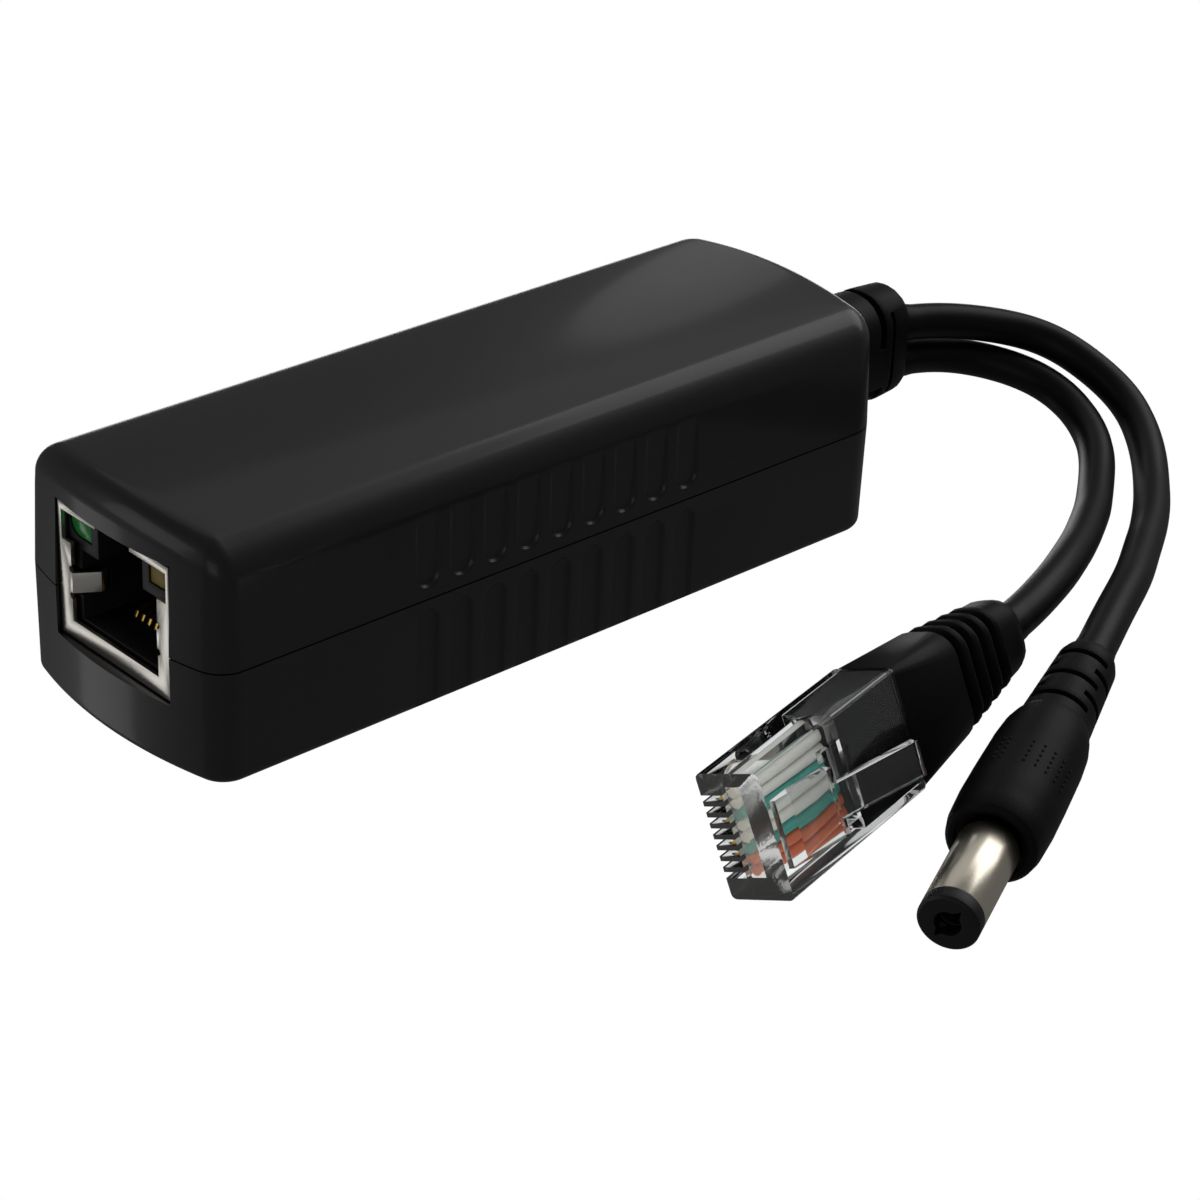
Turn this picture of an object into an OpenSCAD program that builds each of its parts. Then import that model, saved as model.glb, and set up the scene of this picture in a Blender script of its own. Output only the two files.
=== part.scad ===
// PoE splitter: a two-shell plastic housing with a network jack at one end and two
// short captive leads at the other, one with a network plug, one with a barrel plug.
// The origin is at the middle of the housing's flat bottom, X runs along the housing
// towards the leads, Z is up, and all sizes are millimetres.

/* [Housing] */
// Length over the two bowed ends
body_l = 85; // [82:1:100]
// Width over the long sides
body_w = 29.4; // [28:0.2:36]
// Height of the lower shell, up to the parting line
lower_h = 11.4; // [9:0.1:13]
// Height of the upper shell above the parting line
upper_h = 12.9; // [12.6:0.1:16]
// Wall thickness of both shells
wall = 2; // [1.6:0.1:2.4]
// How far the jack's end bows out past its corners
front_bow = 2.2; // [0.6:0.1:3.5]
// How far the leads' end bows out past its corners
rear_bow = 0.7; // [0.4:0.1:3.5]
// Radius of the upright corners at the jack's end
front_corner_r = 3.1; // [2.5:0.1:6]
// Radius of the upright corners at the leads' end
rear_corner_r = 3.9; // [2.5:0.1:6]
// Radius of the fillet along the top's long edges
top_r = 3.4; // [2:0.1:4]
// Radius of the fillet along the top's short edges
top_end_r = 2.6; // [1.6:0.1:4]
// Radius of the edge round the bottom
bottom_r = 0.9; // [0.3:0.1:2]
// Rise of the top from its long edges to its middle line
crown = 1.5; // [0.2:0.1:2]
// Inward lean of the upper walls for each millimetre above the parting line
upper_draft = 0.04; // [0:0.01:0.06]
// Inward lean of the lower walls for each millimetre below the parting line
lower_draft = 0.01; // [0:0.01:0.06]
// Width and depth of the shadow line between the shells
seam = 0.3; // [0.1:0.05:0.6]
// Height of the tongue that locates the upper shell
tongue_h = 1.2; // [0.6:0.1:2]
// Thickness of that tongue
tongue_t = 0.8; // [0.5:0.1:1]
// Clearance between the two shells round the tongue
shell_gap = 0.1; // [0.05:0.05:0.3]

/* [Grip slots] */
// Number of slots in each row
grips = 9; // [5:1:13]
// Distance between neighbouring slots
grip_pitch = 4; // [3.4:0.1:5]
// Width of a slot
grip_w = 2.5; // [1.5:0.1:3]
// Depth of a slot
grip_depth = 0.5; // [0.2:0.1:0.8]
// Distance from the parting line to the slots above and below it
grip_edge = 1.2; // [0.6:0.1:2.5]
// Middle of the row along the housing
grip_x = -1.2; // [-4:0.1:4]

/* [Circuit board] */
// Height of the board's upper face above the table
board_z = 6.7; // [5.8:0.1:6.8]
// Thickness of the board
board_t = 1.6; // [0.8:0.1:2]
// Clearance between the board and the walls
board_gap = 0.4; // [0.2:0.1:1]
// Thickness of the ribs and posts that hold the board
rib_t = 1.4; // [1:0.1:2]

/* [Jack] */
// Width of the shield
jack_w = 16.6; // [16:0.1:17]
// Height of the shield
jack_h = 13.3; // [13:0.1:13.6]
// Depth of the shield
jack_l = 21; // [19:0.5:24]
// How far the jack sits behind the middle of the bowed end
jack_inset = 1.1; // [0.9:0.05:1.5]
// Distance from the housing's middle line to the jack's
jack_side = 0.4; // [0:0.1:0.6]
// How far the moulded insert sits behind the front of the shield
insert_inset = 0.8; // [0.5:0.1:1.2]
// Clearance between the shield and its opening in the shells
jack_gap = 0.2; // [0.1:0.05:0.4]
// Thickness of the sheet metal
sheet_t = 0.4; // [0.3:0.05:0.5]
// Width of the opening in the shield
port_w = 13; // [12.6:0.1:13.4]
// Height of the strip below that opening
port_sill = 1.75; // [1.2:0.05:1.85]
// Width of the space for the plug
bay_w = 12; // [11.9:0.05:12.2]
// Floor of the space for the plug above the board
bay_z = 1.9; // [1.8:0.05:2.1]
// Height of the space for the plug's body
bay_h = 7; // [6.8:0.1:7.1]
// Depth of the space for the plug
bay_l = 13.5; // [12:0.5:15]
// Width of the channel for the plug's latch
latch_bay_w = 6.6; // [6.3:0.1:6.8]
// Width of the notch in the top strip of the shield
notch_w = 5.2; // [4:0.1:6]
// Distance between neighbouring contacts
pitch = 1.016; // [1:0.002:1.03]
// Width of a signal lamp's lens
lens_w = 3.2; // [2:0.1:3.3]
// Height of a signal lamp's lens
lens_h = 1.9; // [1.4:0.1:2]

/* [Rear gland] */
// Length of the gland behind the housing
gland_l = 16; // [13:0.1:20]
// Width of the gland where it leaves the housing
gland_w = 8.4; // [7:0.1:10]
// Height of the gland where it leaves the housing
gland_h = 12.2; // [11:0.1:13]
// Height of the gland's middle above the table where it leaves the housing
gland_z = 11.4; // [10.8:0.1:11.6]
// Height of the middle between the two leads where they leave the gland
lead_mid_z = 10.4; // [9.8:0.1:10.6]
// Clearance round the gland's neck
gland_gap = 0.1; // [0.05:0.05:0.3]
// Diameter of both leads
cord_d = 4; // [3.4:0.1:4.2]
// Distance between the two leads where they leave the gland
cord_gap = 4.2; // [4.2:0.1:5]

/* [Network plug] */
// Width of the plug
plug_w = 11.68; // [11.5:0.01:11.75]
// Height of the plug's body
plug_h = 6.6; // [6.4:0.1:6.7]
// Length of the plug's body
plug_l = 21; // [20:0.5:22]
// Length of the moulded boot behind the plug
boot_l = 21.3; // [18:0.5:26]

/* [Barrel plug] */
// Outside diameter of the barrel
barrel_d = 5.5; // [4:0.1:5.5]
// Length of the barrel in front of its grip
barrel_l = 11.3; // [9:0.1:12]
// Length of the black tip of the barrel
tip_l = 1.5; // [1:0.1:2]
// Diameter of the bore that takes the centre pin
pin_bore_d = 2.2; // [1.8:0.1:2.6]
// Wall of the metal tubes
tube_t = 0.25; // [0.2:0.05:0.4]
// Greatest diameter of the grip
grip_d = 8.9; // [8:0.1:8.9]
// Length of the grip
grip_l = 17.7; // [14:0.1:22]
// Length of the slotted strain relief behind the grip
relief_l = 11.5; // [9:0.5:16]
// Clearance between pieces pushed into each other
fit_gap = 0.04; // [0.02:0.01:0.1]

/* [Hidden] */
$fn = 48;
far = 40;
body_h = lower_h + upper_h;

corner_steps = 6;
end_steps = 8;

function arc(c, r, a0, a1, n) = [for (i = [0:n]) let (a = a0 + (a1 - a0) * i / n) c + r * [cos(a), sin(a)]];
function inner(list) = [for (i = [1:len(list) - 2]) list[i]];
function flat(lists) = [for (l = lists) for (p = l) p];
function blend(a, b, t) = a + (b - a) * t;

// Outline of one end seen from above: a corner, the bowed end and the other corner,
// with its sides and its end moved in by side_in and end_in
function end_outline(bow, corner, side_in, end_in) = let (
        arc_r = (pow(body_w / 2, 2) + pow(bow, 2)) / (2 * bow),
        x = body_l / 2 - arc_r,
        r = max(corner - (side_in + end_in) / 2, 0.2),
        cy = body_w / 2 - side_in - r,
        a = asin(cy / (arc_r - end_in - r)),
        cx = x + (arc_r - end_in - r) * cos(a))
    concat(
        arc([cx, -cy], r, -90, -a, corner_steps),
        inner(arc([x, 0], arc_r - end_in, -a, a, end_steps)),
        arc([cx, cy], r, a, 90, corner_steps));

// Outline of the housing seen from above
function plan(side_in, end_in) = concat(
    end_outline(rear_bow, rear_corner_r, side_in, end_in),
    [for (p = end_outline(front_bow, front_corner_r, side_in, end_in)) -p]);

// Outline of a w by h rectangle with round corners
function round_rect(w, h, r, n = 5) = flat([for (q = [0:3])
    arc([(q == 0 || q == 3 ? 1 : -1) * (w / 2 - r), (q < 2 ? 1 : -1) * (h / 2 - r)], r, 90 * q, 90 * q + 90, n)]);

// Closed skin through rings that all have the same number of points
module loft(rings) {
    n = len(rings[0]);
    m = len(rings);
    polyhedron(
        points = flat(rings),
        faces = concat(
            [[for (i = [0:n - 1]) i]],
            [[for (i = [n - 1:-1:0]) (m - 1) * n + i]],
            flat([for (k = [0:m - 2]) flat([for (i = [0:n - 1]) let (j = (i + 1) % n)
                [[k * n + i, (k + 1) * n + i, (k + 1) * n + j], [k * n + i, (k + 1) * n + j, k * n + j]]])])));
}

// Ring across the X axis: outline w by h with corner radius r, z above the axis at x
function cross_ring(x, w, h, r, z) = [for (p = round_rect(w, h, r)) [x, p.x, z + p.y]];
module loft_x(sections) loft([for (s = sections) cross_ring(s[0], s[1], s[2], s[3], s[4])]);

// A profile drawn in Y and Z, pushed l along X
module push_x(l) rotate([90, 0, 90]) linear_extrude(l) children();
// A profile drawn in X and Z, w wide and centred on Y
module push_y(w) rotate([90, 0, 0]) linear_extrude(w, center = true) children();
// A profile of radius against x, turned round the X axis
module turn_x() rotate([0, 90, 0]) rotate_extrude() children();

module plan_block(inset, z0, z1) translate([0, 0, z0]) linear_extrude(z1 - z0) polygon(plan(inset, inset));

// Openings in the end walls, shared by both shells
jack_x = -body_l / 2 + jack_inset;
gland_r = 3.6;
module end_openings() {
    translate([-body_l / 2 - 5, -jack_side - jack_w / 2 - jack_gap, board_z - jack_gap])
        cube([jack_inset + 5 + 2 * wall, jack_w + 2 * jack_gap, jack_h + 2 * jack_gap]);
    translate([body_l / 2 - 2 * wall, 0, gland_z]) push_x(3 * wall)
        polygon(round_rect(gland_w + 2 * gland_gap, gland_h + 2 * gland_gap, gland_r));
}

// Row of grip slots with round ends, from z0 to z1, on both long sides
module grip_row(z0, z1) {
    for (s = [-1, 1]) for (i = [0:grips - 1])
        translate([grip_x + (i - (grips - 1) / 2) * grip_pitch, s * (body_w / 2 - grip_depth + far / 2), 0])
            push_y(far) {
                translate([-grip_w / 2, z0 + grip_w / 2]) square([grip_w, z1 - z0 - grip_w]);
                for (z = [z0 + grip_w / 2, z1 - grip_w / 2]) translate([0, z]) circle(d = grip_w);
            }
}

fillet_steps = 6;
top_in = upper_draft * (upper_h - top_r);
function crown_z(p) = -crown * pow(2 * p.y / body_w, 2);
function raise(points, z) = [for (p = points) [p.x, p.y, z]];
function domed(points, z) = [for (p = points) [p.x, p.y, z + crown_z(p)]];

// Fillet radius at each point of the outline, from the long sides to the ends
corner_blend = [for (i = [0:corner_steps]) i / corner_steps];
end_blend = concat(corner_blend, [for (i = [1:end_steps - 1]) 1], [for (t = corner_blend) 1 - t]);
fillet_r = [for (t = concat(end_blend, end_blend)) blend(top_r, top_end_r, t)];
function fillet_ring(a) = let (points = plan(top_in + top_r * (1 - cos(a)), top_in + top_end_r * (1 - cos(a))))
    [for (i = [0:len(points) - 1]) let (p = points[i])
        [p.x, p.y, body_h - fillet_r[i] * (1 - sin(a)) + crown_z(p)]];

module upper_outside() {
    fillet = [for (i = [0:fillet_steps]) fillet_ring(90 * i / fillet_steps)];
    edge = plan(top_in + top_r, top_in + top_end_r);
    roof = [for (k = [0.75, 0.5, 0.25, 0.02]) domed(edge * k, body_h)];
    loft(concat([raise(plan(0, 0), lower_h)], fillet, roof));
}

post_x = [-body_l / 2 + jack_inset + jack_l + 4, body_l / 2 - 12];
post_y = body_w / 2 - wall - board_gap - 2 * rib_t;
roof_z = body_h - crown - wall;
module upper_shell() color([0.10, 0.10, 0.11]) {
    difference() {
        upper_outside();
        plan_block(wall, lower_h - 1, roof_z);
        plan_block(wall - tongue_t - shell_gap, lower_h - 1, lower_h + tongue_h + shell_gap);
        end_openings();
        grip_row(lower_h + grip_edge, body_h + grip_w);
    }
    // Posts that hold the board down
    for (x = post_x) for (s = [-1, 1]) translate([x, s * post_y, board_z]) cylinder(d = 2 * rib_t, h = roof_z + 0.5 - board_z);
}

bottom_steps = 3;
bottom_in = lower_draft * (lower_h - bottom_r);
module lower_outside() {
    edge = [for (i = [0:bottom_steps]) let (a = 90 * i / bottom_steps, inset = bottom_in + bottom_r * (1 - sin(a)))
        raise(plan(inset, inset), bottom_r * (1 - cos(a)))];
    loft(concat(edge, [
        raise(plan(lower_draft * seam, lower_draft * seam), lower_h - seam),
        raise(plan(seam, seam), lower_h - seam + 0.01),
        raise(plan(seam, seam), lower_h)]));
}

module lower_shell() color([0.09, 0.09, 0.10]) {
    difference() {
        union() {
            lower_outside();
            plan_block(wall - tongue_t, lower_h - 1, lower_h + tongue_h);
        }
        plan_block(wall, wall, lower_h + 2 * tongue_h);
        end_openings();
        grip_row(-far, lower_h - grip_edge);
    }
    // Ribs that the board rests on
    for (s = [-1, 1]) translate([-body_l / 2 + 4 * wall, s * post_y - rib_t / 2, wall - 0.5])
        cube([body_l - 8 * wall, rib_t, board_z - board_t - wall + 0.5]);
}

board_x0 = -body_l / 2 + wall + front_bow + board_gap;
flange_t = 1.5;
board_x1 = body_l / 2 - wall - flange_t - 2.5;
board_w = body_w - 2 * (wall + board_gap);
module circuit_board() color([0.05, 0.30, 0.16])
    translate([board_x0, -board_w / 2, board_z - board_t]) cube([board_x1 - board_x0, board_w, board_t]);

// Jack, drawn from the middle of its front edge on the board
module at_jack() translate([jack_x, -jack_side, board_z]) children();
window_w = jack_w - 0.9;
window_z = bay_z + bay_h + 0.7;
strip_h = 0.75;
finger_z = 4.6;
finger_h = 2;
finger_l = 3.1;
finger_dip = 1.5;
notch_r = 0.35;

module jack_shield() color([0.80, 0.79, 0.76]) at_jack() {
    difference() {
        translate([0, -jack_w / 2, 0]) cube([jack_l, jack_w, jack_h]);
        translate([sheet_t, -jack_w / 2 + sheet_t, -1]) cube([jack_l - 2 * sheet_t, jack_w - 2 * sheet_t, jack_h + 1 - sheet_t]);
        translate([-1, -port_w / 2, port_sill]) cube([2, port_w, window_z - port_sill + 0.5]);
        translate([-1, -window_w / 2, window_z]) cube([2, window_w, jack_h - strip_h - window_z]);
        translate([-1, -notch_w / 2, window_z]) cube([2, notch_w, jack_h]);
        for (s = [-1, 1]) for (z = [finger_z - notch_r, finger_z + finger_h + notch_r])
            translate([-1, s * port_w / 2, z]) rotate([0, 90, 0]) cylinder(r = notch_r, h = 2);
    }
    // Spring fingers folded in from both sides of the opening
    for (s = [0, 1]) mirror([0, s, 0]) translate([0, 0, finger_z]) linear_extrude(finger_h)
        polygon([[0, port_w / 2 + 0.1], [0, port_w / 2 - 0.1], [0.2, port_w / 2 - 0.3],
            [0.6 * finger_l, port_w / 2 - finger_dip + 0.2], [0.7 * finger_l, port_w / 2 - finger_dip],
            [0.78 * finger_l, port_w / 2 - finger_dip], [finger_l, port_w / 2 - finger_dip + 0.4],
            [finger_l, port_w / 2 - finger_dip + 0.7], [0.74 * finger_l, port_w / 2 - finger_dip + 0.3],
            [0.6 * finger_l, port_w / 2 - finger_dip + 0.5], [sheet_t, port_w / 2 + 0.1]]);
}

insert_gap = 0.1;
insert_w = jack_w - 2 * sheet_t - 2 * insert_gap;
insert_h = jack_h - sheet_t - insert_gap;
insert_l = jack_l - insert_inset - sheet_t - insert_gap;
groove_w = 0.6;
groove_x = 4.3;
groove_z = bay_z - 0.6;
lens_y = window_w / 2 - 0.25 - lens_w / 2;
lens_z = jack_h - strip_h - 0.6 - lens_h;
lens_l = 3;
lens_inset = insert_inset + 0.1;
lens_gap = 0.05;
contacts = 8;

module lens_outline(grow) {
    w = lens_w / 2 + grow;
    corner = 1.5 + grow;
    polygon(concat([[-w, -grow], [-w, lens_h + grow], [w, lens_h + grow]],
        arc([w - corner, corner - grow], corner, 0, -90, 5)));
}

module jack_insert() color([0.07, 0.07, 0.075]) at_jack() difference() {
    translate([insert_inset, -insert_w / 2, 0]) cube([insert_l, insert_w, insert_h]);
    translate([-1, -bay_w / 2, bay_z]) cube([bay_l + 1, bay_w, bay_h]);
    translate([-1, -latch_bay_w / 2, bay_z]) cube([bay_l - 1, latch_bay_w, jack_h - bay_z - 1.2]);
    translate([-1, -notch_w / 2, bay_z]) cube([3, notch_w, jack_h]);
    // Pockets behind the spring fingers
    for (s = [-1, 1]) translate([0, s * (bay_w / 2 + 0.2) - 0.6, finger_z - 0.3]) cube([finger_l + 0.8, 1.2, finger_h + 0.6]);
    for (i = [0:contacts - 1]) translate([groove_x, (i - (contacts - 1) / 2) * pitch - groove_w / 2, groove_z])
        cube([bay_l - groove_x, groove_w, 1]);
    for (s = [0, 1]) mirror([0, s, 0]) translate([-1, lens_y, lens_z]) push_x(1 + lens_inset + lens_l) lens_outline(lens_gap);
}

// Contact springs, each a flat strip that rises from its groove towards the back
spring_w = 0.46;
spring_t = 0.3;
spring_rise = 2.1;
module jack_contacts() color([0.85, 0.68, 0.30]) at_jack() for (i = [0:contacts - 1])
    translate([0, (i - (contacts - 1) / 2) * pitch, groove_z]) push_y(spring_w)
        polygon([[groove_x + 0.1, 0], [groove_x + 0.5, 0], [groove_x + 0.8, 0.8], [10.8, spring_rise], [11.6, spring_rise - 0.1],
            [11.6, spring_rise + 0.2], [10.7, spring_rise + spring_t], [groove_x + 0.6, 0.8 + spring_t]]);

module lens(side) at_jack() mirror([0, side, 0])
    translate([lens_inset, lens_y, lens_z]) push_x(lens_l) lens_outline(0);
module green_lens() color([0.10, 0.75, 0.25]) lens(0);
module amber_lens() color([0.55, 0.45, 0.12]) lens(1);

// Parts on the board, sized and placed as shares of the bench behind the jack
bench_x = jack_x + jack_l;
bench_l = board_x1 - bench_x;
part_gap = 0.5;
case_h = roof_z - board_z;
module on_board(x, y) translate([bench_x + x * bench_l, y, board_z]) children();

signal_w = 0.5 * board_w;
signal_y = rib_t + part_gap - post_y;
module signal_transformer() color([0.08, 0.08, 0.08]) on_board(0.04, signal_y) cube([0.16 * bench_l, signal_w, 0.38 * case_h]);

core_w = 0.54 * board_w;
core_l = 0.23 * bench_l;
core_h = 0.73 * case_h;
core_t = 0.2 * core_l;
module at_core() on_board(0.26, -core_w / 2) children();
module power_transformer_core() color([0.22, 0.22, 0.23]) at_core() difference() {
    cube([core_l, core_w, core_h]);
    translate([core_t, -1, core_t]) cube([core_l - 2 * core_t, core_w + 2, core_h - 2 * core_t]);
}
coil_over = 0.06 * board_w;
coil_gap = 0.2;
module power_transformer_coil() color([0.85, 0.70, 0.20]) at_core() translate([core_t + coil_gap, -coil_over, core_t])
    cube([core_l - 2 * core_t - 2 * coil_gap, core_w + 2 * coil_over, core_h - 2 * core_t]);

inductor_d = 0.36 * board_w;
inductor_h = 0.35 * case_h;
flange_h = 0.2 * inductor_h;
module storage_inductor() color([0.25, 0.25, 0.26]) on_board(0.6, part_gap - board_w / 2 + inductor_d / 2) {
    cylinder(d = inductor_d, h = flange_h);
    cylinder(d = 0.74 * inductor_d, h = inductor_h);
    translate([0, 0, inductor_h - flange_h]) cylinder(d = inductor_d, h = flange_h);
}

can_d = 0.14 * bench_l;
can_h = 0.8 * case_h;
can_y = can_d / 2 + part_gap;
module can(h) {
    cylinder(d = can_d, h = h - 0.4);
    cylinder(d = 0.9 * can_d, h = h);
}
module input_capacitor() color([0.12, 0.14, 0.30]) on_board(0.6, can_y) can(can_h);
module output_capacitors() color([0.12, 0.14, 0.30])
    for (y = [-1, 1]) on_board(0.77, y * can_y) can(0.83 * can_h);

rectifier_w = (board_w / 2 - signal_y - signal_w - 3 * part_gap) / 2;
module rectifiers() color([0.09, 0.09, 0.09]) for (i = [0, 1])
    on_board(0.135, signal_y + signal_w + part_gap + i * (rectifier_w + part_gap)) cube([0.08 * bench_l, rectifier_w, 0.16 * case_h]);
module controller_chip() color([0.08, 0.08, 0.08]) on_board(0.85, -0.12 * board_w) cube([0.08 * bench_l, 0.24 * board_w, 0.1 * case_h]);

// Lead ends inside the housing, from the gland down to the board
lead_wire_d = 1.2;
lead_z = [lead_mid_z + cord_gap / 2, lead_mid_z - cord_gap / 2];
module lead_wire(y, z) {
    x0 = board_x1 - 1.5;
    x1 = body_l / 2 - wall - flange_t - 0.15;
    translate([x0, y, z]) rotate([0, 90, 0]) cylinder(d = lead_wire_d, h = x1 - x0, $fn = 24);
    translate([x0, y, z]) sphere(d = lead_wire_d, $fn = 24);
    translate([x0, y, board_z]) cylinder(d = lead_wire_d, h = z - board_z, $fn = 24);
}
module inner_leads() color([0.75, 0.10, 0.08]) {
    for (y = [-0.8, 0.8]) lead_wire(y, lead_z[0]);
    for (y = [-2.4, 2.4]) lead_wire(y, lead_z[1]);
}

// Rear gland, moulded round both leads and trapped between the shells
gland_x0 = body_l / 2;
gland_x1 = gland_x0 + gland_l;
flange_over = 1.6;
cut_depth = 1.3;
cut_near = 5.2;
cut_near_w = 0.8;
cut_far = 3.5;
cut_far_w = 0.5;
gland_drop = gland_z - lead_mid_z;
bridge_h = 4.7;
bridge_drop = 1.3;
module gland_cut(x, w) translate([x - w / 2, 0, gland_z]) push_x(w) difference() {
    square([2 * gland_w, 2 * gland_h], center = true);
    polygon(round_rect(gland_w - 2 * cut_depth, gland_h - 2 * cut_depth, gland_r - cut_depth));
    children();
}
module cord_gland() color([0.10, 0.10, 0.11]) difference() {
    union() {
        translate([gland_x0 - wall - flange_t - 0.1, 0, gland_z]) push_x(flange_t - 0.3)
            polygon(round_rect(gland_w + 2 * flange_over, gland_h + 2 * flange_over - 2, gland_r));
        translate([gland_x0 - wall - 0.6, 0, gland_z]) push_x(wall + 1.2) polygon(round_rect(gland_w, gland_h, gland_r));
        translate([0, 0, gland_z]) loft_x([
            [gland_x0 + 0.2, gland_w, gland_h, gland_r, 0],
            [gland_x1 - 4, gland_w - 0.4, gland_h, gland_r, 0],
            [gland_x1 - 1.2, gland_w - 1.6, gland_h - 0.2, gland_r - 0.5, 0],
            [gland_x1 - 0.5, gland_w - 2.2, gland_h - 1, gland_r - 0.7, -0.2 * gland_drop],
            [gland_x1, gland_w - 3.3, gland_h - 2.9, gland_r - 1.1, -0.75 * gland_drop]]);
    }
    gland_cut(gland_x1 - cut_near, cut_near_w) translate([0, -bridge_drop]) square([2 * gland_w, bridge_h], center = true);
    gland_cut(gland_x1 - cut_far, cut_far_w) for (s = [-1, 1]) translate([0, s * gland_h / 2]) square([2 * gland_w, bridge_h / 1.5], center = true);
}

// Leads, each a tube swept along points chosen where the lead lies
function unit(v) = v / norm(v);
function aim(pitch_a, yaw_a) = [cos(pitch_a) * cos(yaw_a), cos(pitch_a) * sin(yaw_a), -sin(pitch_a)];
cord_sides = 10;
module sweep(route, start_dir, end_dir) {
    n = len(route);
    loft([for (i = [n - 1:-1:0]) let (
            t = i == 0 ? start_dir : i == n - 1 ? end_dir : unit(route[i + 1] - route[i - 1]),
            side = unit(cross(t, [0, 0, 1])),
            up = cross(side, t))
        [for (k = [0:cord_sides - 1]) let (a = 360 * k / cord_sides)
            route[i] + cord_d / 2 * (cos(a) * side + sin(a) * up)]]);
}

barrel_pos = [-9.5, -71.9, 3.04];
barrel_turn = [0, -6, 24.5];
barrel_all = barrel_l + grip_l + relief_l;
barrel_end = barrel_pos + barrel_all * aim(barrel_turn[1], barrel_turn[2]);
power_route = concat([[gland_x1, 0, lead_z[0]]], [
    [63.8, -1.4, 12], [68.2, -3, 11.1], [72.7, -5, 9.7], [75.7, -8.5, 8.5], [76.7, -13, 6.5],
    [76.7, -17.5, 5], [75.2, -21.5, 3.5], [72.2, -25.5, 2.5], [68.7, -29, 2.1], [65.2, -32, 2.5],
    [61.2, -35, 3], [57.2, -37.5, 3.5], [53.2, -40.3, 4.5], [49.2, -43, 5], [45.2, -45.5, 6],
    [40.7, -48, 6.5], [36.7, -50.3, 7], [32.2, -52.6, 7.3]], [barrel_end]);
module power_cord() color([0.10, 0.10, 0.11]) sweep(power_route, [1, 0, 0], -aim(barrel_turn[1], barrel_turn[2]));

plug_pos = [-17.7, -56.2, 6.9];
plug_turn = [68.2, -2, 11.8];
plug_end = plug_pos + (plug_l + boot_l) * aim(plug_turn[1], plug_turn[2]);
data_route = concat([[gland_x1, 0, lead_z[1]]], [
    [64.4, -0.7, 7.6], [68.8, -2.6, 6.6], [71.7, -7, 6], [73.2, -11.5, 4.5], [72.2, -16.5, 3],
    [69.7, -20.5, 2.3], [65.7, -24, 2.1], [61.7, -27, 2.5], [57.7, -30, 3], [53.7, -32.5, 4],
    [49.2, -35.5, 5], [45.2, -38, 6], [41.2, -40.5, 7], [36.7, -42.9, 7.8], [32.2, -45, 8.3],
    [28.2, -46.5, 8.4]], [plug_end]);
module data_cord() color([0.10, 0.10, 0.11]) sweep(data_route, [1, 0, 0], -aim(plug_turn[1], plug_turn[2]));

// Network plug, drawn from the middle of its front face with its latch upwards
module at_plug() translate(plug_pos) rotate(plug_turn) children();
slot_w = 0.55;
slot_l = 6;
wire_d = 0.96;
wire_z = -0.7;
wire_x0 = 1.6;
core_x = 12;
core_bay_w = 10.2;
core_bay_h = 5;
latch_w = 6.2;
tab_w = 3.25;
module plug_shell() color([0.85, 0.90, 0.92, 0.4]) at_plug() {
    difference() {
        push_x(plug_l) polygon(round_rect(plug_w, plug_h, 0.5, 3));
        translate([core_x, -core_bay_w / 2, -core_bay_h / 2]) cube([plug_l, core_bay_w, core_bay_h]);
        translate([wire_x0 - 0.1, -contacts * pitch / 2 - 0.1, wire_z - wire_d / 2 - fit_gap])
            cube([core_x, contacts * pitch + 0.2, wire_d + 0.5]);
        for (i = [0:contacts - 1]) translate([-1, (i - (contacts - 1) / 2) * pitch - slot_w / 2, -plug_h / 2 - 1])
            cube([slot_l + 1, slot_w, plug_h / 2 + 1 + wire_z - wire_d / 2 + 0.1]);
        // Crimp window under the latch
        translate([8.6, -3.6, plug_h / 2 - 1.1]) cube([2.8, 7.2, 2]);
    }
    push_y(latch_w) polygon([[0.4, plug_h / 2 - 0.3], [1.6, plug_h / 2 - 0.3], [7, plug_h / 2 + 1], [7, plug_h / 2 + 2.1], [0.6, plug_h / 2 + 0.5]]);
    push_y(tab_w) polygon([[6, plug_h / 2 + 0.8], [15.4, plug_h / 2 + 4.1], [15.2, plug_h / 2 + 5], [6, plug_h / 2 + 1.8]]);
}

blade_w = 0.35;
module plug_blades() color([0.85, 0.68, 0.30]) at_plug() for (i = [0:contacts - 1])
    translate([1.8, (i - (contacts - 1) / 2) * pitch - blade_w / 2, -plug_h / 2 + 0.5])
        cube([3.2, blade_w, plug_h / 2 - 0.5 + wire_z - wire_d / 2]);
module plug_wires() color([0.15, 0.60, 0.55]) at_plug() for (i = [0:contacts - 1])
    translate([wire_x0, (i - (contacts - 1) / 2) * pitch, wire_z]) rotate([0, 90, 0]) cylinder(d = wire_d, h = core_x - wire_x0 - fit_gap, $fn = 24);

// Moulded boot: a core inside the plug, a block flush with it and a ribbed end
rib_pitch = 2;
ribs = 4;
boot_w0 = plug_w - 0.1;
boot_w1 = 10.4;
boot_w2 = 7.6;
boot_h0 = plug_h;
boot_h1 = 6.8;
boot_h2 = 5.8;
block_l = 9.5;
rib_depth = 0.8;
rib_x = plug_l + block_l;
rib_all = ribs * rib_pitch;
function boot_w(x) = x < rib_x ? boot_w0 + (boot_w1 - boot_w0) * (x - plug_l) / block_l
    : boot_w1 + (boot_w2 - boot_w1) * (x - rib_x) / (rib_all + 2);
function boot_h(x) = x < rib_x ? boot_h0 + (boot_h1 - boot_h0) * (x - plug_l) / block_l
    : boot_h1 + (boot_h2 - boot_h1) * (x - rib_x) / (rib_all + 2);
function boot_r(x) = x < rib_x ? 0.8 + 1.6 * (x - plug_l) / block_l : 2.4;
function boot_at(x, dip) = [x, boot_w(x) - 2 * dip, boot_h(x) - 2 * dip, boot_r(x) - dip / 2, 0];
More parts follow.
